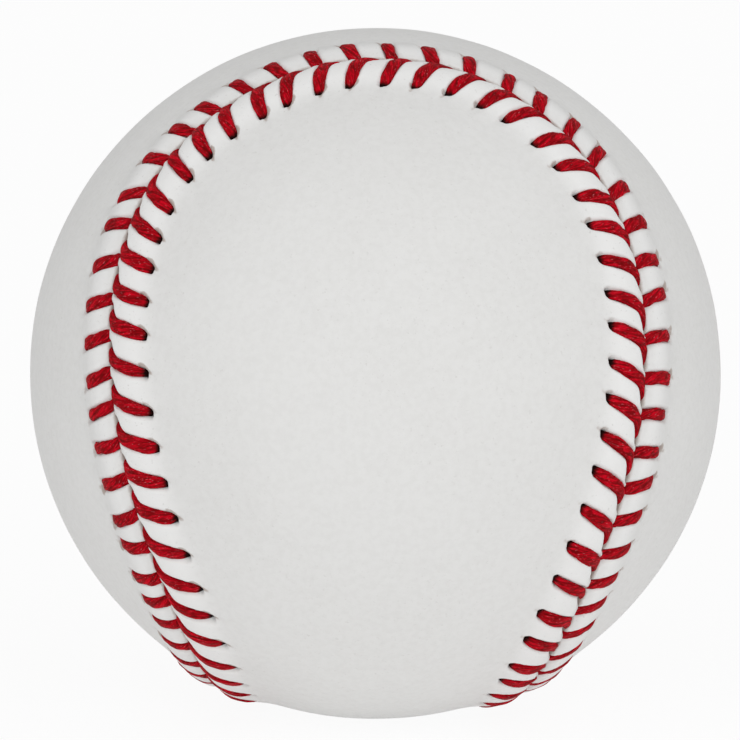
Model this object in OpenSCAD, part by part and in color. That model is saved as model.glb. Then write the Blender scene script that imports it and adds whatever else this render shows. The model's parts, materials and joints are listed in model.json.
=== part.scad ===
// Baseball: cork core, rubber pill, four yarn windings and a cover of two hides sewn edge to edge.
// The origin is the ball's centre. The wide front lobe of one hide faces -Y, that hide runs under
// the ball to the back, and the other hide runs over the top from side to side.

/* [Pill] */
// Diameter of the cork composition core
core_d = 20.64; // [18:0.02:22]
// Wall of the two black rubber half shells
black_rubber_wall = 3.97; // [3:0.01:5]
// Thickness of the red washer between the half shells
washer_thickness = 1.6; // [1:0.1:2.4]
// Wall of the red rubber layer round them
red_rubber_wall = 2.38; // [1.6:0.01:3.2]

/* [Windings] */
// Build-up of the four-ply grey wool yarn
inner_wool_wall = 14.66; // [13:0.01:16]
// Build-up of the three-ply white wool yarn
white_wool_wall = 1.77; // [1.2:0.01:2.4]
// Build-up of the three-ply grey wool yarn
outer_wool_wall = 2.27; // [1.6:0.01:3]
// Build-up of the fine cotton finishing yarn
cotton_wall = 0.51; // [0.3:0.01:0.8]

/* [Hides] */
// Thickness of the cowhide
leather_wall = 1.27; // [1.1:0.01:1.5]
// Slit between the edges of the two hides
seam_gap = 0.3; // [0.2:0.05:0.5]
// Height of the puckered lip above the ball, between two stitches
lip_height = 0.75; // [0.4:0.05:1]
// Distance from the seam at which the lip runs out into the ball
lip_width = 7; // [6.8:0.1:7.6]

/* [Seam line] */
// How far the seam swings towards the top and the bottom, in degrees
seam_swing_angle = 72.5; // [68:0.5:74]
// How much its loops are blunted, in degrees
seam_blunting_angle = 6.3; // [4:0.1:8]
// How far it sways sideways between the loops, in degrees
seam_sway_angle = 16; // [12:0.5:18]
// How much that sway is flattened, in degrees
seam_flattening_angle = 3.9; // [2:0.1:5]

/* [Stitches] */
// Number of double stitches round the seam
stitch_count = 108; // [90:1:112]
// Distance of the needle holes from the seam
hole_inset = 4.7; // [4.4:0.05:4.9]
// How far a stitch leans forward along the seam in the front hide, from hole to slit
front_stitch_lean = 1.7; // [1.2:0.1:2]
// How far it leans in the side hide
side_stitch_lean = 0.8; // [0.4:0.1:1.2]
// Width of the waxed double thread
thread_d = 1; // [0.86:0.02:1.06]
// Height of the thread's centre line above its two ends
stitch_rise = 0.74; // [0.7:0.02:0.8]
// Play between the thread and its needle hole, all round
hole_play = 0.16; // [0.15:0.01:0.2]
// Clearance between the thread and the leather under it
thread_clearance = 0.1; // [0.08:0.01:0.12]

/* [Hidden] */
$fn = 96;

// Radii of the layers, from the core outwards
core_r = core_d / 2;
black_rubber_r = core_r + black_rubber_wall;
pill_r = black_rubber_r + red_rubber_wall;
inner_wool_r = pill_r + inner_wool_wall;
white_wool_r = inner_wool_r + white_wool_wall;
outer_wool_r = white_wool_r + outer_wool_wall;
cotton_r = outer_wool_r + cotton_wall;
ball_r = cotton_r + leather_wall;

// The stitch: a round arc from its needle hole to the slit, in its own plane.
// side is 1 on the front hide and -1 on the side hide
thread_r = thread_d / 2;
slit_inset = thread_r;
hole_depth = leather_wall - thread_r - thread_clearance;
function lean(side) = side > 0 ? front_stitch_lean : side_stitch_lean;
function stitch_chord(side) = norm([hole_inset - slit_inset, lean(side)]);
function bend_r(side) = (pow(stitch_chord(side) / 2, 2) + pow(stitch_rise, 2)) / (2 * stitch_rise);
function centre_drop(side) = bend_r(side) - stitch_rise;
function slit_angle(side) = asin(stitch_chord(side) / 2 / bend_r(side));
function hole_angle(side) = acos((centre_drop(side) - hole_depth) / bend_r(side));

// The lip: points across it, as shares of the hole's distance, and its height there between stitches
lip_across_shares = [0.16, 0.4, 0.72, 1];
lip_height_shares = [0.7, 1, 0.7, 0.22];
lip_edge_share = 0.15;
lip_foot_share = 0.1;
toe_width = leather_wall * 3 / 4;
toe_depth = leather_wall / 4;
groove_floor = thread_r + thread_clearance;

// Height of the lip's flat underside over the winding, so that none of its facets cuts in
base_lift = pow(lip_width + toe_width, 2) / (6 * cotton_r);

// Overrun of the cuts, and the reach of the cone that cuts out a hide
overrun = leather_wall / 2;
cone_reach_share = 1.4;
cone_r = ball_r * cone_reach_share;
cone_columns = 5;

// The seam line on a unit ball, run through twice by an angle of 360 degrees
seam_turn = 720;
seam_samples = 1440;
seam_start_angle = 90;
function seam_height_angle(t) = seam_swing_angle * cos(t) - seam_blunting_angle * cos(3 * t);
function seam_round_angle(t) =
    seam_start_angle + t / 2 + seam_sway_angle * sin(2 * t) - seam_flattening_angle * sin(4 * t);
function ball_direction(height, round) =
    [cos(height) * cos(round), cos(height) * sin(round), sin(height)];
function seam_point(t) = ball_direction(seam_height_angle(t), seam_round_angle(t));
function unit(v) = v / norm(v);

// The angle t at each length run along the seam, and the seam's whole length, on the real ball
sample_points = [for (i = [0 : seam_samples]) seam_point(i * seam_turn / seam_samples)];
seam_runs = [
    for (i = 0, run = 0; i <= seam_samples;
         run = run + (i < seam_samples ? norm(sample_points[i + 1] - sample_points[i]) : 0) * ball_r,
         i = i + 1)
    [run, i * seam_turn / seam_samples]
];
seam_length = seam_runs[seam_samples][0];
pitch = seam_length / stitch_count;
first_hole_share = 0.26;
function slit_run(k) = (k + first_hole_share) * pitch + front_stitch_lean;
function wrap(run) = run - seam_length * floor(run / seam_length);
function seam_t(run) = lookup(wrap(run), seam_runs);

// Directions at a length run: outwards, onwards along the seam, and across it into the front hide
tangent_step = 0.01;
function outwards(run) = seam_point(seam_t(run));
function onwards(run) =
    unit(seam_point(seam_t(run) + tangent_step) - seam_point(seam_t(run) - tangent_step));
function across(run) = cross(onwards(run), outwards(run));

// A point of the cover at a length run, a distance from the seam and a height above the ball
function cover_point(run, inset, height, side) =
    let (angle = inset / ball_r * 180 / PI)
    (ball_r + height) * (outwards(run) * cos(angle) + side * across(run) * sin(angle));

// Lines across the lip lean as the stitches do
function leaning(run, inset, side) =
    run + lean(side) * (slit_inset - inset) / (hole_inset - slit_inset);

// Height of the leather under a stitch, which follows the underside of the thread's arc
function groove_height(inset, side) =
    let (
        chord = stitch_chord(side),
        along = (inset - (hole_inset + slit_inset) / 2) * chord / (hole_inset - slit_inset),
        rest = pow(bend_r(side) - thread_r - thread_clearance, 2) - pow(along, 2),
        ball_sag = (pow(chord / 2, 2) - pow(along, 2)) / (2 * ball_r)
    )
    rest > 0 ? max(sqrt(rest) - centre_drop(side) - ball_sag, -groove_floor) : -groove_floor;

// The lip's section from the slit outwards: [distance, height between stitches, height under one]
function lip_section(side) = concat(
    [[seam_gap / 2, lip_height * lip_edge_share, -groove_floor]],
    [for (i = [0 : len(lip_across_shares) - 1])
        let (inset = hole_inset * lip_across_shares[i])
        [inset, lip_height * lip_height_shares[i], groove_height(inset, side)]],
    [[lip_width, lip_height * lip_foot_share, lip_height * lip_foot_share],
     [lip_width + toe_width, -toe_depth, -toe_depth]]
);

// Stations along one pitch: [run from the stitch, share of the pucker's height]
stations = [[0, 0], [pitch / 2, 1]];

// One hide's lip, all the way round the seam
module lip(side) {
    section = lip_section(side);
    rows = [
        for (k = [0 : stitch_count - 1]) for (station = stations)
            let (run = slit_run(k) + station[0])
            concat(
                [cover_point(leaning(run, section[0][0], side), section[0][0],
                             base_lift - leather_wall, side)],
                [for (p = section)
                    cover_point(leaning(run, p[0], side), p[0],
                                p[2] + (p[1] - p[2]) * station[1], side)],
                [let (inset = lip_width + toe_width)
                    cover_point(leaning(run, inset, side), inset, base_lift - leather_wall, side)]
            )
    ];
    swept_ring(rows, side);
}

// A closed ring swept through rows of points, all rows alike
module swept_ring(rows, side) {
    count = len(rows);
    width = len(rows[0]);
    faces = [
        for (i = [0 : count - 1]) for (j = [0 : width - 1])
            let (
                a = i * width + j,
                b = i * width + (j + 1) % width,
                c = ((i + 1) % count) * width + (j + 1) % width,
                d = ((i + 1) % count) * width + j
            )
            each side > 0 ? [[a, c, b], [a, d, c]] : [[a, b, c], [a, c, d]]
    ];
    polyhedron(points = [for (row = rows) each row], faces = faces);
}

// The cone from the ball's centre through one hide, inside the foot of its lip.
// Its mouth is laid in columns from one edge to the other, and middle_run is an end of the hide.
module hide_cone(side, middle_run) {
    rows = stitch_count;
    inset = lip_width + toe_width / 8;
    edge = function(i, way) unit(cover_point(middle_run + way * i * pitch / 2, inset, 0, side));
    points = concat(
        [[0, 0, 0], edge(0, 1) * cone_r, edge(rows, 1) * cone_r],
        [for (i = [1 : rows - 1])
            let (from = edge(i, 1), to = edge(i, -1), span = acos(from * to))
            for (j = [0 : cone_columns])
                (from * sin(span * (1 - j / cone_columns)) + to * sin(span * j / cone_columns))
                / sin(span) * cone_r]
    );
    function at(i, j) = i == 0 ? 1 : i == rows ? 2 : 3 + (i - 1) * (cone_columns + 1) + j;
    faces = concat(
        [for (i = [0 : rows - 1]) for (j = [0 : cone_columns - 1])
            each concat(
                i == rows - 1 ? [] : [[at(i, j), at(i + 1, j), at(i + 1, j + 1)]],
                i == 0 ? [] : [[at(i, j), at(i + 1, j + 1), at(i, j + 1)]]
            )],
        [for (i = [0 : rows - 1]) [0, at(i + 1, 0), at(i, 0)]],
        [for (i = [0 : rows - 1]) [0, at(i, cone_columns), at(i + 1, cone_columns)]]
    );
    polyhedron(
        points = points,
        faces = side > 0 ? faces : [for (f = faces) [f[0], f[2], f[1]]]
    );
}

// Places its children in the plane of stitch k: x from the slit to the hole, y outwards,
// with the centre of the thread's bend at the origin
module at_stitch(k, side) {
    hole = cover_point(slit_run(k) - lean(side), hole_inset, 0, side);
    slit = cover_point(slit_run(k), slit_inset, 0, side);
    along = unit(hole - slit);
    middle = (hole + slit) / 2;
    up = unit(middle - along * (middle * along));
    aside = cross(along, up);
    centre = middle - up * centre_drop(side);
    multmatrix([
        [along[0], up[0], aside[0], centre[0]],
        [along[1], up[1], aside[1], centre[1]],
        [along[2], up[2], aside[2], centre[2]],
        [0, 0, 0, 1]
    ])
        children();
}

// One leg of a stitch, from deep in its hole over the lip to the slit
module stitch_leg(side) {
    rotate(90 - hole_angle(side))
        rotate_extrude(angle = hole_angle(side) + slit_angle(side))
            translate([bend_r(side), 0])
                circle(thread_r, $fn = 24);
}

// The needle hole, bored along the thread's end
module needle_hole(side) {
    depth = (leather_wall + overrun) * 2;
    bore_angle = (hole_angle(side) + slit_angle(side)) / 2;
    rotate(90 - bore_angle)
        translate([bend_r(side), 0, 0])
            rotate([90, 0, 0])
                translate([0, 0, -thread_d])
                    cylinder(h = depth + thread_d, r = thread_r + hole_play, $fn = 24);
}

// A hollow ball between two radii
module hollow_ball(outer_r, inner_r) {
    difference() {
        sphere(outer_r);
        sphere(inner_r);
    }
}

// One hide of the cover, with its lip and its row of needle holes
module cover_hide(side, middle_run) {
    difference() {
        union() {
            intersection() {
                sphere(ball_r);
                hide_cone(side, middle_run);
            }
            difference() {
                lip(side);
                for (k = [0 : stitch_count - 1])
                    at_stitch(k, side) needle_hole(side);
            }
        }
        sphere(cotton_r);
    }
}

// One hide's row of stitches
module stitches(side) {
    for (k = [0 : stitch_count - 1])
        at_stitch(k, side) stitch_leg(side);
}

// One black rubber half shell, on the washer. way is 1 above it and -1 below
module black_rubber_half(way) {
    intersection() {
        hollow_ball(black_rubber_r, core_r);
        translate([0, 0, way * (black_rubber_r + washer_thickness) / 2])
            cube([2 * black_rubber_r, 2 * black_rubber_r, black_rubber_r], center = true);
    }
}

module cork_core() {
    color("peru") sphere(core_r);
}

module black_rubber_upper_half() {
    color([0.13, 0.13, 0.14]) black_rubber_half(1);
}

module black_rubber_lower_half() {
    color([0.13, 0.13, 0.14]) black_rubber_half(-1);
}

module red_rubber_washer() {
    color("firebrick")
        intersection() {
            hollow_ball(black_rubber_r, core_r);
            cube([2 * black_rubber_r, 2 * black_rubber_r, washer_thickness], center = true);
        }
}

module red_rubber_layer() {
    color("indianred") hollow_ball(pill_r, black_rubber_r);
}

module inner_grey_wool_winding() {
    color([0.55, 0.55, 0.57]) hollow_ball(inner_wool_r, pill_r);
}

module white_wool_winding() {
    color([0.93, 0.92, 0.88]) hollow_ball(white_wool_r, inner_wool_r);
}

module outer_grey_wool_winding() {
    color([0.62, 0.62, 0.64]) hollow_ball(outer_wool_r, white_wool_r);
}

module cotton_winding() {
    color([0.96, 0.95, 0.92]) hollow_ball(cotton_r, outer_wool_r);
}

module front_cover_hide() {
    color([0.9, 0.89, 0.87]) cover_hide(1, seam_length / 2);
}

module side_cover_hide() {
    color([0.87, 0.86, 0.84]) cover_hide(-1, seam_length / 4);
}

module front_stitches() {
    color([0.72, 0.07, 0.13]) stitches(1);
}

module side_stitches() {
    color([0.66, 0.06, 0.12]) stitches(-1);
}

cork_core();
black_rubber_upper_half();
black_rubber_lower_half();
red_rubber_washer();
red_rubber_layer();
inner_grey_wool_winding();
white_wool_winding();
outer_grey_wool_winding();
cotton_winding();
front_cover_hide();
side_cover_hide();
front_stitches();
side_stitches();
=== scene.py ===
import json
import math

import bpy
import numpy as np
from mathutils import Matrix, Vector, kdtree
from mathutils.geometry import delaunay_2d_cdt


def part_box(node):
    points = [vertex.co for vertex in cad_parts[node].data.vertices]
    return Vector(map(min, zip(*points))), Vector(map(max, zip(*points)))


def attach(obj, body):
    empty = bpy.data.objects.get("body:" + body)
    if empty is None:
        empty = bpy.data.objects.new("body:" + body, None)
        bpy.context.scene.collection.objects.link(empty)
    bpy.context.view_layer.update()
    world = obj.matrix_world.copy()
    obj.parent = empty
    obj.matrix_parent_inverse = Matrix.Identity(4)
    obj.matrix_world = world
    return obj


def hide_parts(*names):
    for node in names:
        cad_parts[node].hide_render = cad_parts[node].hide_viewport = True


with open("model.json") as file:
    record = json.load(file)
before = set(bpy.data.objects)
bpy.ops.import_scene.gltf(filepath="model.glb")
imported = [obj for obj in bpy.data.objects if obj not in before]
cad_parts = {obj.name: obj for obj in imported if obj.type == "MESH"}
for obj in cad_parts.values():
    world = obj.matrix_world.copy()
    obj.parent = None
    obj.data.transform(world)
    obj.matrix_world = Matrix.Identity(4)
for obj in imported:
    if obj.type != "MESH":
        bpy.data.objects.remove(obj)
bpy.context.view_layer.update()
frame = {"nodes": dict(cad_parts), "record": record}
mm = 0.001

# The ball and its seam, in millimetres and degrees

ball = {
    "leather": 1.27,  # thickness of the hides
    "seamHeight": (72.5, 6.3),  # how far the seam swings up and down, and the ripple on that
    "seamAround": (90, 16, 3.9),  # where it starts, how far it swings aside, and the ripple
}
sewing = {
    "stitches": 108,
    "firstHole": 0.31,  # where the first stitch starts, in pitches along the seam
    "holeInset": 4.4,  # from the seam to the needle holes
    "insetDrift": 0.18,  # and how far that varies
    "tailFrom": 1.3,  # the inset from which a leg bends on into its tail
    "tears": (0.15, 1.0),  # how torn a needle hole is, least and most
    "pulled": [
        # stitch number, how far the seam was pulled there towards the front hide
        (0, 0.0), (20, 0.0), (27, -1.1), (31, -1.0), (33, -0.65), (35, -0.4), (38, 0.02), (41, 0.25),
        (44, 0.05), (47, -0.42), (51, -0.28), (54, -0.7), (57, -1.08), (60, -0.98), (63, -0.52),
        (66, -0.52), (69, -0.8), (73, -0.75), (77, -0.35), (82, -0.05), (88, 0.0), (108, 0.0),
    ],
}
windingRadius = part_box("cotton_winding")[1].x / mm
ballRadius = windingRadius + ball["leather"]
seamSamples = 14400


def seamDirection(turn):
    # the way from the ball's middle to the seam, for a turn in degrees
    turn = np.radians(turn)
    swing, ripple = ball["seamHeight"]
    height = np.radians(swing * np.cos(turn) - ripple * np.cos(3 * turn))
    start, swing, ripple = ball["seamAround"]
    around = turn / 2 + np.radians(start + swing * np.sin(2 * turn) - ripple * np.sin(4 * turn))
    flat = np.cos(height)
    return np.stack([flat * np.cos(around), flat * np.sin(around), np.sin(height)], -1)


fullTurn = 720  # the seam goes round the ball once while its height swings twice
seamTurns = np.linspace(0, fullTurn, seamSamples + 1)
seamSteps = np.linalg.norm(np.diff(seamDirection(seamTurns), axis=0), axis=1) * ballRadius
seamRuns = np.concatenate([[0], np.cumsum(seamSteps)])
seamLength = seamRuns[-1]
pitch = seamLength / sewing["stitches"]


def seamFrame(run, side):
    # directions at a run along the seam: outwards, and across the seam into the hide
    turn = np.interp(np.mod(run, seamLength), seamRuns, seamTurns)
    nudge = 0.01
    outwards = seamDirection(turn)
    onwards = seamDirection(turn + nudge) - seamDirection(turn - nudge)
    onwards /= np.linalg.norm(onwards, axis=-1, keepdims=True)
    return outwards, np.cross(onwards, outwards) * side


def between(value, low, high):
    # 0 up to low, 1 from high, and smooth between
    share = np.clip((value - low) / (high - low), 0, 1)
    return share * share * (3 - 2 * share)


def throughKnots(place, at, values):
    # a smooth line through the values at those places
    at = np.array(at, float)
    values = np.array(values, float)
    slope = np.gradient(values, at)
    i = np.clip(np.searchsorted(at, place) - 1, 0, len(at) - 2)
    width = at[i + 1] - at[i]
    t = np.clip((place - at[i]) / width, 0, 1)
    ends = (2 * t**3 - 3 * t**2 + 1) * values[i] + (3 * t**2 - 2 * t**3) * values[i + 1]
    lean = (t**3 - 2 * t**2 + t) * slope[i] + (t**3 - t**2) * slope[i + 1]
    return ends + lean * width


def coverPoint(run, inset, height, side):
    # a point at a run along the seam, an inset from it and a height above the ball
    outwards, across = seamFrame(run, side)
    pulled = throughKnots(np.mod(run, seamLength) / pitch, *zip(*sewing["pulled"]))
    angle = (inset + side * pulled)[..., None] / ballRadius
    reach = ballRadius + np.asarray(height, float)[..., None]
    return reach * (outwards * np.cos(angle) + across * np.sin(angle))


# Where each stitch lies. A leg in the front hide leans on along the seam, and its tail runs on in
# the slit. The leg in the side hide comes up nearly straight and goes in under it.

frontLegs = {
    "side": 1,  # of the seam
    "seed": 11,
    "start": 0.0,  # how far on along the seam its needle hole is
    "slid": [
        # stitch number, how far the legs lie on from there, or back
        (0, 0.0), (19, 0.0), (28, -1.4), (31, -0.8), (33, 0.0), (36, 0.0), (43, -0.15), (46, -0.2),
        (49, -0.55), (53, -0.6), (57, -0.3), (60, -0.1), (63, 0.08), (71, 0.1), (74, 0.7), (77, 0.8),
        (84, 0.0), (108, 0.0),
    ],
    "lean": (1.6, 0.3),  # how far it leans from hole to seam, straight and bent
    "line": [
        # inset, height of the middle, width, thickness
        (4.90, -0.95, 0.60, 0.44),
        (4.60, -0.46, 0.92, 0.56),
        (4.16, 0.04, 1.20, 0.68),
        (3.48, 0.42, 1.40, 0.74),
        (2.74, 0.62, 1.50, 0.76),
        (2.08, 0.69, 1.54, 0.76),
        (1.40, 0.65, 1.50, 0.74),
        (0.84, 0.51, 1.36, 0.70),
        (0.50, 0.39, 1.14, 0.66),
        (0.27, 0.30, 0.80, 0.58),
        (0.11, 0.20, 0.48, 0.48),
        (0.0, -0.02, 0.16, 0.30),
    ],
    "sunkShade": (-0.35, 0.18),  # heights between which shade is painted on it as it goes into its hole
    "tail": (0.8, 1.8),  # how far its tail runs on in the slit, least and most
    "lipHighlightTo": (3.6, 6.0),  # the insets over which the highlight painted on the lip ends
    "holeHalf": 0.5,  # half the needle hole's width along the seam
    "frays": (3.0, -1.0),  # how far its hole is torn, ahead of the leg or, below zero, behind it
    "frayTurn": 54,  # the stitch from which the second of them holds
    "holeDrift": 0.16,  # how far its two ends and its width vary
    "slitDrift": 0.12,
    "widthDrift": 0.07,
}
sideLegs = {
    "side": -1,
    "seed": 23,
    "start": 0.5,
    "slid": [
        (0, 0.0), (19, 0.0), (28, -0.6), (31, 0.2), (33, 0.45), (36, -0.4), (38, -0.15), (43, -0.85),
        (46, -0.35), (49, -0.6), (53, -0.65), (57, -0.4), (60, -0.3), (63, -0.3), (67, -0.15), (70, 0.4),
        (72, -0.1), (75, 0.6), (78, 0.7), (84, 0.0), (108, 0.0),
    ],
    "lean": (0.3, 0.45),
    "line": [
        (4.66, -0.95, 1.0, 0.40),
        (4.50, -0.42, 1.24, 0.50),
        (4.18, 0.02, 1.36, 0.60),
        (3.64, 0.34, 1.42, 0.68),
        (2.96, 0.54, 1.44, 0.72),
        (2.22, 0.62, 1.44, 0.72),
        (1.46, 0.59, 1.44, 0.70),
        (0.82, 0.44, 1.42, 0.66),
        (0.34, 0.24, 1.42, 0.60),
        (0.04, 0.0, 1.30, 0.50),
        (-0.12, -0.4, 1.05, 0.40),
    ],
    "sunkShade": (-0.6, 0.0),
    "tail": (0.0, 0.1),
    "lipHighlightTo": (1.4, 4.6),
    "holeHalf": 0.6,
    "frays": (-1.5, -1.5),
    "frayTurn": 54,
    "holeDrift": 0.3,
    "slitDrift": 0.12,
    "widthDrift": 0.06,
}
allStitches = np.arange(sewing["stitches"])


def placeLegs(legs):
    # the hand sewing: no two legs are quite alike
    rng = np.random.default_rng(legs["seed"])
    count = len(allStitches)
    slid = throughKnots(allStitches, *zip(*legs["slid"]))
    hole = (allStitches + sewing["firstHole"]) * pitch + slid
    drift = sewing["insetDrift"]
    legs["slitRun"] = hole + legs["start"] + rng.normal(0, legs["slitDrift"], count)
    legs["holeShift"] = rng.normal(0, legs["holeDrift"], count)
    legs["holeInset"] = sewing["holeInset"] + rng.uniform(-drift, drift, count)
    legs["plump"] = 1 + rng.normal(0, legs["widthDrift"], count)
    legs["tailRun"] = rng.uniform(*legs["tail"], count)
    legs["twist"] = rng.uniform(0, 2 * math.pi, count)
    legs["tear"] = rng.uniform(*sewing["tears"], count)


def legRun(legs, k, inset):
    # the run of the middle line of leg k at an inset
    climb = 1 - inset / legs["holeInset"][k]
    straight, bent = legs["lean"]
    lean = straight * climb + bent * climb**3
    tail = legs["tailRun"][k] * np.clip(1 - inset / sewing["tailFrom"], 0, 1) ** 3
    return legs["slitRun"][k] + legs["holeShift"][k] * (1 - climb) + lean + tail


placeLegs(frontLegs)
placeLegs(sideLegs)
print("stitches placed,", 2 * sewing["stitches"], "legs")

# Leather: one closed skin for each hide, puckered into a lip along the seam

hide = {
    "columns": 22,  # for each stitch, along the seam
    "rows": [
        # insets, closer together at the slit and at the needle holes
        0.03, 0.07, 0.13, 0.22, 0.34, 0.5, 0.66, 0.82, 1.0, 1.2, 1.4, 1.62, 1.86, 2.1, 2.34, 2.6, 2.86, 3.1,
        3.34, 3.56, 3.76, 3.94, 4.1, 4.25, 4.4, 4.55, 4.7, 4.86, 5.04, 5.24, 5.48, 5.78, 6.14, 6.56,
        7.0, 7.5, 8.0,
    ],
    "wall": [0, 0.3, 0.6, 0.85],  # points up the wall of the slit, as shares of the thickness
    "fieldSpacing": 0.62,  # between the points of the cover past the lip
    "liningSpacing": 4.0,  # and between those of its hidden side
    "liningGap": 0.07,  # between the leather and the windings
    "edgeClear": 0.55,  # how near the field's points come to its edge, as a share of their spacing
    "pillow": [
        # inset, height between two stitches
        (0.03, 0.36), (0.1, 0.47), (0.22, 0.58), (0.4, 0.68), (0.8, 0.82), (1.3, 0.9), (1.9, 0.93),
        (2.6, 0.87), (3.4, 0.7), (4.1, 0.48), (4.75, 0.3), (5.4, 0.16), (6.2, 0.06), (7.2, 0.01), (8.2, 0.0),
    ],
    "bed": [
        # inset, height under a stitch
        (0.03, -0.14), (0.1, -0.1), (0.34, -0.04), (0.8, 0.1), (1.3, 0.25), (1.9, 0.3), (2.6, 0.25),
        (3.2, 0.12), (3.8, -0.08), (4.4, -0.14), (5.0, 0.03), (5.7, 0.03), (7.0, 0.0), (8.2, 0.0),
    ],
    "bedHalf": (0.26, 0.98),  # from the bed under a leg to the pillow's full height
    "bedTo": 3.5,  # the inset up to which a bed follows the slant of its leg
    "pillowFall": 0.1,  # how much lower a pillow is beside its legs
    "slitEdgeShade": (0.75, 0.2),  # how much shade is painted at the edge of the slit, and how far in
    "freshFrom": (0.3, 1.4),  # the insets over which the highlight painted on the lip begins
    "waves": (5, 6, 24),  # seed, shortest and longest wave of the unevenness
    "waviness": 0.035,
}
needleHole = {
    "depth": 0.95,
    "size": 0.37,  # half of it, across the seam
    "outwards": 0.1,  # how far its middle lies past the hole's inset
    "steepness": 2.6,
    # where something lies and half its width: the rim in half widths of the hole, all else in mm
    "rim": (1.4, 0.38),
    "crease": (0.2, 0.24),
    "prickAside": (0.3, 0.28),
    "prickBeyond": (1.05, 0.26),
    "rimHeight": 0.07,
    "creaseDepth": 0.1,
    # distances beyond the hole, or towards its torn side, over which something begins or ends
    "rimFrom": (-0.35, 0.05),
    "tornFrom": (-0.1, 0.4),
    "creaseFrom": (0.15, 0.45),
    "creaseTo": (0.75, 1.75),
    # how far a badly torn rim spreads, how much shade is painted in the crease, and how grey the prick is
    # painted
    "spreadOut": 0.2,
    "spreadIn": 0.12,
    "creaseShade": 0.45,
    "prickGrey": 0.5,
}
columnRuns = np.arange(sewing["stitches"] * hide["columns"]) * pitch / hide["columns"]


def slowWaves(points, seed, shortest, longest):
    # slow unevenness over the whole ball, from -1 to 1 or so
    count = 36
    rng = np.random.default_rng(seed)
    ways = rng.normal(size=(count, 3))
    ways /= np.linalg.norm(ways, axis=1, keepdims=True)
    ways *= 2 * math.pi / rng.uniform(shortest, longest, (count, 1))
    phases = rng.uniform(0, 2 * math.pi, count)
    total = np.zeros(points.shape[:-1])
    for way, phase in zip(ways, phases):
        total += np.sin(points @ way + phase)
    return total / math.sqrt(2 * count)


def uneven(points):
    # points of the cover with the slow unevenness of the windings below
    return points * (1 + slowWaves(points, *hide["waves"])[:, None] * hide["waviness"] / ballRadius)


def hump(value, middle, width):
    return np.exp(-(((value - middle) / width) ** 2))


def nearestLeg(legs, run, inset):
    # distances along the seam from each run to the leg behind it and to the leg ahead
    middles = np.sort(np.mod(legRun(legs, allStitches, inset), seamLength))
    ring = np.concatenate([[middles[-1] - seamLength], middles, [middles[0] + seamLength]])
    i = np.clip(np.searchsorted(ring, run, side="right") - 1, 0, len(ring) - 2)
    return run - ring[i], ring[i + 1] - run


def legDistance(legs, inset):
    # true distance from each column at an inset to the middle line of the nearest leg
    count = 40
    crowding = 1.6
    reach = 3
    shares = np.linspace(0, 1, count) ** crowding  # points along a leg, closer together near the seam
    guess = np.round(columnRuns / pitch).astype(int)
    best = np.full(len(columnRuns), np.inf)
    for offset in range(-reach, reach):
        k = (guess + offset) % sewing["stitches"]
        lineInset = shares[:, None] * legs["holeInset"][k]
        gap = columnRuns - legRun(legs, k, lineInset)
        gap = (gap + seamLength / 2) % seamLength - seamLength / 2
        best = np.minimum(best, np.hypot(gap, inset - lineInset).min(axis=0))
    return best


def holeRow(legs, inset, behind, ahead):
    # the needle holes along one row: the hole itself, its rim, the crease that runs on past it,
    # and how soiled the torn leather is there, with shade painted in the crease and a grey mark painted at
    # the prick
    beyond = inset - sewing["holeInset"]
    alongHole = np.minimum(behind, ahead) / legs["holeHalf"]
    acrossHole = (beyond - needleHole["outwards"]) / needleHole["size"]
    away = np.sqrt(alongHole**2 + acrossHole**2)
    hole = np.exp(-(away ** needleHole["steepness"]))
    rimAway, rimWidth = needleHole["rim"]
    rim = hump(away, rimAway, rimWidth) * between(beyond, *needleHole["rimFrom"])
    # the side on which it is torn, and how much
    stitch = np.round(columnRuns / pitch - sewing["firstHole"]).astype(int) % sewing["stitches"]
    fray = np.where(columnRuns / pitch < legs["frayTurn"], *legs["frays"])
    torn = np.where(behind < ahead, behind, -ahead) * np.sign(fray)
    past = between(beyond, *needleHole["creaseFrom"]) * (1 - between(beyond, *needleHole["creaseTo"]))
    crease = hump(torn, *needleHole["crease"]) * past
    prick = hump(torn, *needleHole["prickAside"]) * hump(beyond, *needleHole["prickBeyond"])
    spread = np.abs(fray) - 1
    ragged = hump(away, rimAway + needleHole["spreadOut"] * spread, rimWidth)
    ragged *= between(beyond + needleHole["spreadIn"] * spread, *needleHole["rimFrom"])
    ragged *= np.abs(fray) * between(torn, *needleHole["tornFrom"])
    # the torn rim's soil and shade, shade painted in the crease, and a grey mark painted at the prick
    soilAndShade = ragged + needleHole["creaseShade"] * crease + needleHole["prickGrey"] * prick
    return hole, rim, crease, legs["tear"][stitch] * soilAndShade


def lipRow(legs, inset):
    # height of the leather along one row of the lip, how soiled and shaded it is, how dark its needle holes
    # are painted, and how much highlight is painted on it
    behind, ahead = nearestLeg(legs, columnRuns, inset)
    bedside = legDistance(legs, inset) if inset < hide["bedTo"] else np.minimum(behind, ahead)
    pillow = throughKnots(inset, *zip(*hide["pillow"]))
    bed = throughKnots(inset, *zip(*hide["bed"]))
    middle = (behind - ahead) / (behind + ahead)
    rise = pillow * (1 - hide["pillowFall"] * middle**2) - bed
    hole, rim, crease, torn = holeRow(legs, inset, behind, ahead)
    height = bed + rise * between(bedside, *hide["bedHalf"])
    height = height - needleHole["depth"] * hole
    height = height - needleHole["creaseDepth"] * crease + needleHole["rimHeight"] * rim
    # shade painted along the edge of the slit
    slitEdgeShade, slitReach = hide["slitEdgeShade"]
    soilAndShade = np.clip(slitEdgeShade * hump(inset, 0, slitReach) + torn, 0, 1)
    # a highlight painted on the lip, where the pillows catch more light
    fresh = between(inset, *hide["freshFrom"]) * (1 - between(inset, *legs["lipHighlightTo"]))
    # hole also marks where shade is painted into the needle holes
    return height, soilAndShade, hole, fresh


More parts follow.
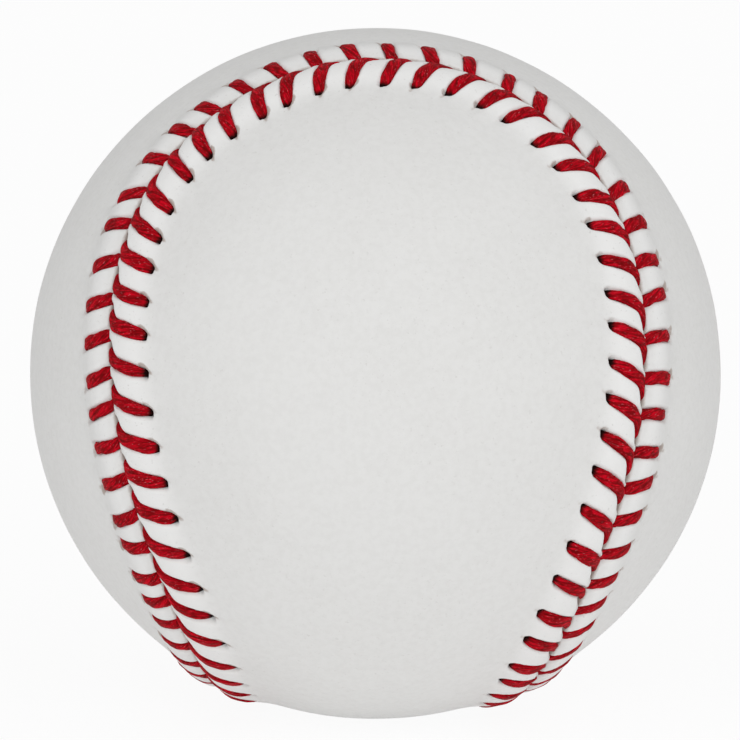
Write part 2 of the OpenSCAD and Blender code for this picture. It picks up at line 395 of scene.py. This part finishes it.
def fillInside(edge, side, spacing, reach):
    # points spread over the part of the ball inside an edge, and the triangles between them,
    # found on a flat map of the ball as seen from the pole that the part leaves out
    count = int(4 * math.pi * ballRadius**2 / spacing**2)
    i = np.arange(count)
    z = 1 - (2 * i + 1) / count
    swirl = i * math.pi * (3 - math.sqrt(5))
    flat = np.sqrt(1 - z * z)
    spots = np.stack([flat * np.cos(swirl), flat * np.sin(swirl), z], -1)
    rim = edge / np.linalg.norm(edge, axis=1, keepdims=True)
    tree = kdtree.KDTree(len(rim))
    for n, point in enumerate(rim):
        tree.insert(point, n)
    tree.balance()
    across = seamFrame(columnRuns, side)[1]
    kept = []
    for spot in spots:
        near, n, distance = tree.find(spot)
        clear = distance * ballRadius > spacing * hide["edgeClear"]
        if clear and (spot - np.array(near)) @ across[n] > 0:
            kept.append(spot)
    kept = np.array(kept)
    unit = np.concatenate([rim, kept])
    drop = 1 - side * unit[:, 2]
    onMap = np.stack([unit[:, 0] / drop, unit[:, 1] / drop], -1)
    inside = 1  # only the triangles within the edge
    finest = 1e-8
    found = delaunay_2d_cdt([Vector(p) for p in onMap], [], [list(range(len(rim)))], inside, finest)
    places = [ids[0] for ids in found[3]]
    triangles = np.array([[places[v] for v in face] for face in found[2]])
    return kept * reach, triangles


def turned(faces, points, outwards):
    # triangles with their front towards the outside of the ball, or towards its middle
    a, b, c = (points[faces[:, i]] for i in range(3))
    wrong = np.einsum("ij,ij->i", np.cross(b - a, c - a), a) * outwards < 0
    faces[wrong] = faces[wrong][:, ::-1]
    return faces


def newMesh(name, points, faces, shades):
    mesh = bpy.data.meshes.new(name)
    mesh.from_pydata((points * mm).tolist(), [], faces)
    for shade, values in shades.items():
        values = np.asarray(values, np.float32)
        kind = "FLOAT" if values.ndim == 1 else "FLOAT_VECTOR"
        attribute = mesh.attributes.new(shade, kind, "POINT")
        attribute.data.foreach_set("value" if values.ndim == 1 else "vector", values.ravel())
    mesh.shade_smooth()
    piece = bpy.data.objects.new(name, mesh)
    bpy.context.scene.collection.objects.link(piece)
    return piece


def buildHide(name, legs):
    side = legs["side"]
    columns = len(columnRuns)
    rows = []
    shades = {"soilAndShade": [], "holeShade": [], "fresh": []}

    def addRow(inset, height, *values):
        rows.append(coverPoint(columnRuns, np.full(columns, inset), height, side))
        for shade, value in zip(shades, values):
            shades[shade].append(np.broadcast_to(value, columns))

    edge = hide["rows"][0]
    edgeHeight = lipRow(legs, edge)[0]
    for share in hide["wall"]:
        height = -ball["leather"] + hide["liningGap"] + share * (edgeHeight + ball["leather"])
        # the wall of the slit is painted in full shade
        addRow(edge, height, 1, 0, 0)
    for inset in hide["rows"]:
        addRow(inset, *lipRow(legs, inset))
        rows[-1] = uneven(rows[-1])
    field, fieldFaces = fillInside(rows[-1], side, hide["fieldSpacing"], ballRadius)
    field = uneven(field)
    liningReach = windingRadius + hide["liningGap"]
    lining, liningFaces = fillInside(rows[0], side, hide["liningSpacing"], liningReach)
    points = np.concatenate([*rows, field, lining])
    # field faces start from the last row, lining faces from the first
    bandCount = len(rows) * columns
    fieldFaces += bandCount - columns
    liningFaces = np.where(liningFaces < columns, liningFaces, liningFaces - columns + bandCount + len(field))
    fieldFaces = turned(fieldFaces, points, 1)
    liningFaces = turned(liningFaces, points, -1)
    i = np.arange(columns)
    nextColumn = (i + 1) % columns
    quads = []
    for near in range(0, bandCount - columns, columns):
        far = near + columns
        corners = [near + i, near + nextColumn, far + nextColumn, far + i]
        quads.append(np.stack(corners if side < 0 else corners[::-1], -1))
    faces = [*np.concatenate(quads).tolist(), *fieldFaces.tolist(), *liningFaces.tolist()]
    rest = np.zeros(len(field) + len(lining))
    shades = {shade: np.concatenate([*values, rest]) for shade, values in shades.items()}
    return newMesh(name, points, faces, shades)


frontHide = buildHide("front_hide_leather", frontLegs)
sideHide = buildHide("side_hide_leather", sideLegs)
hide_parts("front_cover_hide")
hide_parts("side_cover_hide")
print("hides built,", len(frontHide.data.vertices), "and", len(sideHide.data.vertices), "points")

# Thread: each leg is a flattened cord of twisted plies

thread = {
    "rings": 28,
    "around": 30,
    "plies": 4,
    "plyDepth": 0.2,  # of the half width
    "turnsPerLeg": 0.65,
    "squareness": 0.8,
    "uneven": 0.07,
    "holeSide": 2.0,  # the inset past which a sunk leg gets the full painted shade, and only part of it before that
    "slitSunkShade": 0.4,
    "fibreRadius": 2.2,  # of the round space that the shades of a leg are read from
    "fibreShift": (7.3, 9.0),  # how far apart these spaces lie, for legs and for hides
    "endPly": 0.5,
}


def legFrame(middle):
    # directions at each point of a leg's middle line: up from the ball, and aside
    onwards = np.gradient(middle, axis=0)
    onwards /= np.linalg.norm(onwards, axis=1, keepdims=True)
    up = middle / np.linalg.norm(middle, axis=1, keepdims=True)
    up -= onwards * np.einsum("ij,ij->i", up, onwards)[:, None]
    up /= np.linalg.norm(up, axis=1, keepdims=True)
    return up, np.cross(onwards, up)


def legFaces(first):
    # the sides and both ends of the leg whose first point has that number
    n = thread["around"]
    last = first + (thread["rings"] - 1) * n
    ends = last + n
    faces = []
    for j in range(n):
        m = (j + 1) % n
        for a in range(first, last, n):
            faces.append((a + j, a + n + j, a + n + m, a + m))
        faces.append((ends, first + j, first + m))
        faces.append((ends + 1, last + m, last + j))
    return faces


def squared(wave):
    return np.sign(wave) * np.abs(wave) ** thread["squareness"]


def buildLegs(name, legs):
    side = legs["side"]
    rng = np.random.default_rng(legs["seed"] + 1)
    at = np.arange(len(legs["line"]), dtype=float)
    place = np.linspace(0, len(at) - 1, thread["rings"])
    insets, heights, widths, thicknesses = (
        throughKnots(place, at, [knot[i] for knot in legs["line"]]) for i in range(4)
    )
    angles = np.linspace(0, 2 * math.pi, thread["around"], endpoint=False)
    flatCos = squared(np.cos(angles))
    flatSin = squared(np.sin(angles))
    # shade painted where the leg sinks below the leather, into its hole or into the slit
    sunkShade = 1 - between(heights, *legs["sunkShade"])
    sunkShade = sunkShade * np.where(insets > thread["holeSide"], 1, thread["slitSunkShade"])
    legShift, hideShift = thread["fibreShift"]
    points = []
    faces = []
    strands = []
    plies = []
    for k in allStitches:
        inset = insets * legs["holeInset"][k] / sewing["holeInset"]
        middle = coverPoint(legRun(legs, k, inset), inset, heights, side)
        up, aside = legFrame(middle)
        turn = legs["twist"][k] + 2 * math.pi * thread["turnsPerLeg"] * place / place[-1]
        roundIt = angles[None, :] - turn[:, None]
        lobe = np.abs(np.cos(thread["plies"] / 2 * roundIt))
        swell = 1 - thread["plyDepth"] * (1 - lobe)
        bumps = rng.normal(0, 1, (thread["rings"] + 2, 1)) * np.ones(thread["around"])
        swell = swell + thread["uneven"] * (bumps[:-2] + bumps[1:-1] + bumps[2:]) / 3
        halfWidth = widths[:, None] * legs["plump"][k] / 2
        halfThick = thicknesses[:, None] / 2
        ring = middle[:, None, :] + aside[:, None, :] * (halfWidth * swell * flatCos)[..., None]
        ring = ring + up[:, None, :] * (halfThick * swell * flatSin)[..., None]
        faces += legFaces(k * (thread["rings"] * thread["around"] + 2))
        points.append(np.concatenate([ring.reshape(-1, 3), middle[:1], middle[-1:]]))
        # shades: how far along the leg, round it and into the grooves between its plies, where shade is
        # painted
        travelled = np.concatenate([[0], np.cumsum(np.linalg.norm(np.diff(middle, axis=0), axis=1))])
        along = np.repeat(travelled, thread["around"])
        aroundLeg = [np.cos(roundIt).ravel(), np.sin(roundIt).ravel()]
        strand = np.stack([along, *(thread["fibreRadius"] * way for way in aroundLeg)], -1)
        strand += [k * legShift, 0, side * hideShift]
        strands.append(np.concatenate([strand, strand[:1], strand[-1:]]))
        plies.append(np.concatenate([lobe.ravel(), [thread["endPly"]] * 2]))
    sunkShadeLeg = np.concatenate([np.repeat(sunkShade, thread["around"]), sunkShade[[0, -1]]])
    shades = {
        "strand": np.concatenate(strands),
        "ply": np.concatenate(plies),
        "sunkShade": np.tile(sunkShadeLeg, len(allStitches)),
    }
    return newMesh(name, np.concatenate(points), faces, shades)


frontThread = buildLegs("front_thread", frontLegs)
sideThread = buildLegs("side_thread", sideLegs)
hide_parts("front_stitches")
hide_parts("side_stitches")
print("thread built,", len(frontThread.data.vertices), "and", len(sideThread.data.vertices), "points")

# Shader maths in plain expressions


class Socket:
    def __init__(self, maker, socket):
        self.maker = maker
        self.socket = socket

    def math(self, operation, *values):
        return self.maker.node("ShaderNodeMath", {"operation": operation}, dict(enumerate((self, *values))))

    def __add__(self, other):
        return self.math("ADD", other)

    def __radd__(self, other):
        return self.math("ADD", other)

    def __sub__(self, other):
        return self.math("SUBTRACT", other)

    def __rsub__(self, other):
        return self.maker.node("ShaderNodeMath", {"operation": "SUBTRACT"}, {0: other, 1: self})

    def __mul__(self, other):
        return self.math("MULTIPLY", other)

    def __rmul__(self, other):
        return self.math("MULTIPLY", other)

    def __truediv__(self, other):
        return self.math("DIVIDE", other)

    def __pow__(self, other):
        return self.math("POWER", other)

    def step(self, low, high, top=1):
        # 0 up to low, and top from high
        sockets = {"Value": self, "From Min": low, "From Max": high, "To Max": top}
        return self.maker.node("ShaderNodeMapRange", {"interpolation_type": "SMOOTHSTEP"}, sockets)


class Maker:
    def __init__(self, tree):
        self.tree = tree
        tree.nodes.clear()

    def node(self, kind, settings=None, sockets=None, out=0):
        made = self.tree.nodes.new(kind)
        for name, value in (settings or {}).items():
            setattr(made, name, value)
        for name, value in (sockets or {}).items():
            if isinstance(value, Socket):
                self.tree.links.new(value.socket, made.inputs[name])
            else:
                made.inputs[name].default_value = value
        return Socket(self, made.outputs[out]) if made.outputs else made

    def mix(self, factor, a, b):
        a, b = ((*c, 1) if isinstance(c, tuple) else c for c in (a, b))
        return self.node("ShaderNodeMix", {"data_type": "RGBA"}, {0: factor, 6: a, 7: b}, out=2)

    def vector(self, operation, a, b, out=0):
        return self.node("ShaderNodeVectorMath", {"operation": operation}, {0: a, 1: b}, out=out)

    def attribute(self, name, out="Fac"):
        return self.node("ShaderNodeAttribute", {"attribute_name": name}, out=out)

    def noise(self, where, size, detail=3, roughness=0.5):
        # size is the width of its blobs, in the units of where
        sockets = {"Vector": where, "Scale": 1 / size, "Detail": detail, "Roughness": roughness}
        return self.node("ShaderNodeTexNoise", None, sockets)

    def place(self):
        return self.node("ShaderNodeTexCoord", out="Object")

    def bump(self, height, distance):
        return self.node("ShaderNodeBump", None, {"Height": height, "Distance": distance})

    def directlySeen(self):
        # 1 for what the camera or a reflection looks straight at, and 0 for light on other things
        path = "ShaderNodeLightPath"
        return self.node(path, out="Is Camera Ray") + self.node(path, out="Is Glossy Ray")

    def surface(self, sockets):
        shader = self.node("ShaderNodeBsdfPrincipled", None, sockets)
        self.node("ShaderNodeOutputMaterial", None, {"Surface": shader})


def newMaterial(name):
    material = bpy.data.materials.new(name)
    material.use_nodes = True
    return material, Maker(material.node_tree)


def dress(piece, material):
    piece.data.materials.clear()
    piece.data.materials.append(material)


def leatherMaterial():
    look = {
        "white": (0.785, 0.783, 0.772),
        # lighter leather for the highlight painted on the lip
        "fresh": (0.86, 0.858, 0.85),
        "ivory": (0.745, 0.741, 0.728),
        "pore": (0.69, 0.683, 0.668),
        # colour of soiled leather and of the shade painted in the slit, in the creases past the needle holes
        # and on their torn rims
        "crease": (0.44, 0.37, 0.33),
        # near black painted into the needle holes as their shade
        "holeShade": (0.02, 0.01, 0.008),
        # widths of the patterns, in mm
        "cloudSize": 16,
        "wrinkleSize": 2.4,
        "grainSize": 0.7,
        "speckSize": 0.34,
        # strengths of a pattern between which it comes to show, and how much it then shows
        "clouds": (0.35, 0.7, 0.35),
        "grains": (0.35, 0.7, 0.65),
        "pores": (0.62, 0.76),
        "poreClouds": (0.3, 0.55),
        "soilAndShadeSteps": (0.417, 1.333, 0.9),
        "holeShadeSteps": (0.5, 1.1),
        "soilAndShadeSpecks": 0.583,  # how much the specks roughen the edge of the soiled and shaded leather
        "holeShadeGrain": 0.4,
        "lipHighlightStrength": 0.7,
        "roughness": (0.5, 0.14),  # at least, and more with the grain
        "gloss": 0.3,
        "relief": 0.05,
        "grainRelief": 0.5,
    }
    material, make = newMaterial("white_leather")
    where = make.place()
    cloud = make.noise(where, look["cloudSize"] * mm, 3)
    grain = make.noise(where, look["grainSize"] * mm, 4, 0.6)
    wrinkle = make.noise(where, look["wrinkleSize"] * mm, 3, 0.55)
    speck = make.noise(where, look["speckSize"] * mm, 2, 0.6)
    mottle = cloud.step(*look["clouds"]) + grain.step(*look["grains"])
    pores = speck.step(*look["pores"]) * cloud.step(*look["poreClouds"])
    soiledAndShaded = (make.attribute("soilAndShade") + speck * look["soilAndShadeSpecks"]).step(*look["soilAndShadeSteps"])
    holeShaded = (make.attribute("holeShade") + grain * look["holeShadeGrain"]).step(*look["holeShadeSteps"])
    colour = make.mix(mottle, look["white"], look["ivory"])
    # painted highlight on the lip
    colour = make.mix(make.attribute("fresh") * look["lipHighlightStrength"], colour, look["fresh"])
    colour = make.mix(pores, colour, look["pore"])
    # soiled leather, and shade painted in the slit and at the needle holes
    colour = make.mix(soiledAndShaded, colour, look["crease"])
    # shade painted into the needle holes
    colour = make.mix(holeShaded, colour, look["holeShade"])
    smooth, rough = look["roughness"]
    make.surface(
        {
            "Base Color": colour,
            "Roughness": smooth + grain * rough,
            "Specular IOR Level": look["gloss"],
            "Normal": make.bump(grain * look["grainRelief"] + wrinkle, look["relief"] * mm),
        }
    )
    return material


def threadMaterial():
    look = {
        "red": (0.33, 0.0005, 0.005),
        "bright": (0.64, 0.001, 0.014),
        # greyish pink for small highlights painted on the fibres
        "paintedSheen": (0.6, 0.15, 0.17),
        "deep": (0.15, 0.0002, 0.001),
        # near black for the shade painted on sunk legs
        "sunkShadeColour": (0.01, 0.0015, 0.001),
        "stretch": (0.5, 1.0, 1.0),  # fibres run along the thread
        # widths of the patterns, in mm
        "blotchSize": 0.9,
        "shineSize": 0.62,
        "fibreSize": 0.3,
        "sheenFleckSize": 0.3,
        # strengths of a pattern between which it comes to show, and how much it then shows
        "shines": (0.42, 0.6),
        "fibres": (0.42, 0.66, 0.5),
        "blotches": (0.5, 0.64, 0.8),
        "sheenFlecks": (0.63, 0.78, 0.8),
        "plies": (0.0, 0.42),
        "grooveShade": 0.8,
        "sunkShadeSteps": (0.462, 1.231),
        "sunkShadeBlotches": 0.615,  # how much the blotches roughen the edge of the painted shade
        "roughness": (0.5, 0.2),  # at least, and more with the fibres
        "gloss": 0.05,
        "relief": 0.08,
    }
    material, make = newMaterial("red_thread")
    strand = make.attribute("strand", "Vector")
    stretched = make.vector("MULTIPLY", strand, look["stretch"])
    fibre = make.noise(stretched, look["fibreSize"], 3, 0.65)
    shine = make.noise(stretched, look["shineSize"], 2)
    blotch = make.noise(strand, look["blotchSize"], 2)
    sheenFleck = make.noise(strand, look["sheenFleckSize"], 1)
    # shade painted in the grooves between the plies
    plyGrooveShade = (1 - make.attribute("ply").step(*look["plies"])) * look["grooveShade"]
    sunkShaded = (make.attribute("sunkShade") + blotch * look["sunkShadeBlotches"]).step(*look["sunkShadeSteps"])
    colour = make.mix(shine.step(*look["shines"]), look["red"], look["bright"])
    colour = make.mix(fibre.step(*look["fibres"]), colour, look["deep"])
    colour = make.mix(blotch.step(*look["blotches"]), colour, look["deep"])
    # painted sheen in small flecks
    colour = make.mix(sheenFleck.step(*look["sheenFlecks"]), colour, look["paintedSheen"])
    # painted shade in the ply grooves
    colour = make.mix(plyGrooveShade, colour, look["deep"])
    # painted shade on the sunk parts of the legs
    colour = make.mix(sunkShaded, colour, look["sunkShadeColour"])
    smooth, rough = look["roughness"]
    make.surface(
        {
            "Base Color": colour,
            "Roughness": smooth + fibre * rough,
            "Specular IOR Level": look["gloss"],
            "Normal": make.bump(fibre, look["relief"] * mm),
        }
    )
    return material


# What the hides cover: cork, rubber and yarn wound every way round


crumbs = {
    "shadeSize": 0.3,  # in the space of colours that tells one crumb from another
    "shades": (0.35, 0.65),
    "dustSize": 2.6,
    "dusts": (0.5, 0.75),
    "dustRoughness": 0.15,
    "dustRelief": 0.4,
    "gloss": 0.3,
}


def crumbMaterial(name, look):
    # cork crumbs pressed together, or rubber with a little chalk on it
    material, make = newMaterial(name)
    where = make.place()
    cells = {"Vector": where, "Scale": 1 / (look["crumb"] * mm)}
    cell = make.node("ShaderNodeTexVoronoi", None, cells, out="Color")
    shade = make.noise(cell, crumbs["shadeSize"], 1)
    dust = make.noise(where, crumbs["dustSize"] * mm, 4, 0.65)
    colour = make.mix(shade.step(*crumbs["shades"]), look["pale"], look["deep"])
    colour = make.mix(dust.step(*crumbs["dusts"], look["dusty"]), colour, look["dust"])
    make.surface(
        {
            "Base Color": colour,
            "Roughness": look["rough"] + dust * crumbs["dustRoughness"],
            "Specular IOR Level": crumbs["gloss"],
            "Normal": make.bump(shade + dust * crumbs["dustRelief"], look["relief"] * mm),
        }
    )
    return material


winding = {
    # directions across the turns of yarn
    "ways": [(0.8, 0.5, 0.33), (-0.6, 0.75, 0.28), (0.3, -0.45, 0.84), (0.64, 0.1, -0.76)],
    "patchSize": 8,  # how wide a patch of turns lies on top
    "patches": (0.46, 0.52),
    "patchShift": 0.31,
    "wanderSize": 7,  # over what distance the turns wander, and how far
    "wander": 9,
    "fuzzSize": 0.35,
    "fuzz": (0.4, 0.7, 0.35),
    "fuzzRelief": 0.3,
    "rough": 0.85,
    "gloss": 0.2,
    "relief": 0.4,  # of the yarn's thickness
}


def yarnMaterial(name, look):
    # turns of yarn in four directions, and which of them lies on top changes from place to place
    material, make = newMaterial(name)
    where = make.place()
    wander = make.noise(where, winding["wanderSize"] * mm, 2)
    height = 0.5
    for number, way in enumerate(winding["ways"]):
        turns = make.vector("DOT_PRODUCT", where, way, out="Value")
        phase = turns * (2 * math.pi / (look["yarn"] * mm)) + wander * winding["wander"]
        wave = phase.math("SINE") * 0.5 + 0.5
        shifted = make.vector("ADD", where, (number * winding["patchShift"], 0, 0))
        top = make.noise(shifted, winding["patchSize"] * mm, 1).step(*winding["patches"])
        height = wave * top + (1 - top) * height
    fibre = make.noise(where, winding["fuzzSize"] * mm, 4, 0.7)
    # darker down between the turns and paler on their tops: painted shade, beside the bump
    colour = make.mix(height, look["deep"], look["pale"])
    colour = make.mix(fibre.step(*winding["fuzz"]), colour, look["fuzz"])
    relief = look["yarn"] * winding["relief"] * mm
    make.surface(
        {
            "Base Color": colour,
            "Roughness": winding["rough"],
            "Specular IOR Level": winding["gloss"],
            "Normal": make.bump(height + fibre * winding["fuzzRelief"], relief),
        }
    )
    return material


insides = {
    "cork": crumbMaterial(
        "cork",
        {
            "crumb": 1.1,
            "pale": (0.62, 0.43, 0.25),
            "deep": (0.36, 0.21, 0.11),
            "dust": (0.16, 0.09, 0.06),
            "dusty": 0.5,
            "rough": 0.72,
            "relief": 0.12,
        },
    ),
    "black_rubber": crumbMaterial(
        "black_rubber",
        {
            "crumb": 2.0,
            "pale": (0.032, 0.032, 0.036),
            "deep": (0.022, 0.022, 0.025),
            "dust": (0.11, 0.11, 0.11),
            "dusty": 0.35,
            "rough": 0.58,
            "relief": 0.03,
        },
    ),
    "red_rubber": crumbMaterial(
        "red_rubber",
        {
            "crumb": 2.0,
            "pale": (0.53, 0.1, 0.08),
            "deep": (0.45, 0.075, 0.06),
            "dust": (0.6, 0.3, 0.26),
            "dusty": 0.3,
            "rough": 0.56,
            "relief": 0.03,
        },
    ),
    "grey_wool": yarnMaterial(
        "grey_wool",
        {
            "yarn": 1.5,
            "pale": (0.4, 0.4, 0.42),
            "deep": (0.16, 0.16, 0.17),
            "fuzz": (0.6, 0.6, 0.6),
        },
    ),
    "white_wool": yarnMaterial(
        "white_wool",
        {
            "yarn": 1.3,
            "pale": (0.84, 0.82, 0.76),
            "deep": (0.5, 0.48, 0.42),
            "fuzz": (0.92, 0.9, 0.86),
        },
    ),
    "white_cotton": yarnMaterial(
        "white_cotton",
        {
            "yarn": 0.5,
            "pale": (0.9, 0.88, 0.82),
            "deep": (0.6, 0.57, 0.5),
            "fuzz": (0.95, 0.94, 0.9),
        },
    ),
}
for row in frame["record"]["subparts"]:
    if row["material_slot"] in insides:
        frame["nodes"][row["node"]].material_slots[0].material = insides[row["material_slot"]]
print("insides painted")

leather = leatherMaterial()
redThread = threadMaterial()
for piece in (frontHide, sideHide):
    dress(piece, leather)
for piece in (frontThread, sideThread):
    dress(piece, redThread)

for piece in (frontHide, sideHide, frontThread, sideThread):
    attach(piece, "root")

# Light, floor and camera

studio = {
    "glow": 1.45,  # the sky in front of the ball, and it fades towards the back
    "glowFrom": (0.1, -0.995, 0),
    "glowFocus": 1.25,
    "white": (1, 1, 1, 1),
    "floorSize": 6.0,
    "floorPaint": (0.82, 0.82, 0.82, 1),
    "tableGlow": 0.24,  # the floor is a shooting table, lit a little from beneath
    "floorWhite": 0.9,
}
scene = bpy.context.scene
scene.view_settings.view_transform = "Standard"
world = bpy.data.worlds.new("studio")
world.use_nodes = True
scene.world = world
sky = Maker(world.node_tree)
wayIn = sky.node("ShaderNodeTexCoord", out="Generated")
facing = sky.vector("DOT_PRODUCT", wayIn, studio["glowFrom"], out="Value")
strength = studio["glow"] * ((facing + 1) / 2) ** studio["glowFocus"]
lighting = sky.node("ShaderNodeBackground", None, {"Color": studio["white"], "Strength": strength})
white = sky.node("ShaderNodeBackground", None, {"Color": studio["white"], "Strength": 1.0})
backdrop = sky.node("ShaderNodeMixShader", None, {0: sky.directlySeen(), 1: lighting, 2: white})
sky.node("ShaderNodeOutputWorld", None, {"Surface": backdrop})

half = studio["floorSize"] / 2
low = -ballRadius * mm
corners = [(-half, -half, low), (half, -half, low), (half, half, low), (-half, half, low)]
floorMesh = bpy.data.meshes.new("floor")
floorMesh.from_pydata(corners, [], [(0, 1, 2, 3)])
floor = bpy.data.objects.new("floor", floorMesh)
scene.collection.objects.link(floor)
floorMaterial, make = newMaterial("pale_floor")
paint = make.node("ShaderNodeBsdfDiffuse", None, {"Color": studio["floorPaint"]})
under = make.node("ShaderNodeEmission", None, {"Color": studio["white"], "Strength": studio["tableGlow"]})
table = make.node("ShaderNodeAddShader", None, {0: paint, 1: under})
white = make.node("ShaderNodeEmission", None, {"Color": studio["white"], "Strength": 1.0})
whiteness = make.directlySeen() * studio["floorWhite"]
whitened = make.node("ShaderNodeMixShader", None, {0: whiteness, 1: table, 2: white})
make.node("ShaderNodeOutputMaterial", None, {"Surface": whitened})
floorMesh.materials.append(floorMaterial)

view = {
    "azimuth": 0.1,  # degrees
    "elevation": 7.7,
    "roll": 0.4,
    "distance": 11,  # in ball radii
    "lens": 184.1,
    "sensor": 36,
    "shift": (-0.0074, 0.0047),
    "nearest": 0.01,
}
azimuth, elevation, roll = (math.radians(view[name]) for name in ("azimuth", "elevation", "roll"))
flat = math.cos(elevation)
back = Vector((math.sin(azimuth) * flat, -math.cos(azimuth) * flat, math.sin(elevation)))
level = Vector((0, 0, 1)).cross(back).normalized()
upright = back.cross(level)
right = level * math.cos(roll) + upright * math.sin(roll)
up = upright * math.cos(roll) - level * math.sin(roll)
lens = bpy.data.cameras.new("camera")
lens.lens = view["lens"]
lens.sensor_width = view["sensor"]
lens.shift_x, lens.shift_y = view["shift"]
lens.clip_start = view["nearest"]
camera = bpy.data.objects.new("camera", lens)
scene.collection.objects.link(camera)
turnedTo = Matrix((right, up, back)).transposed().to_4x4()
camera.matrix_world = Matrix.Translation(back * view["distance"] * ballRadius * mm) @ turnedTo
scene.camera = camera
print("studio set")
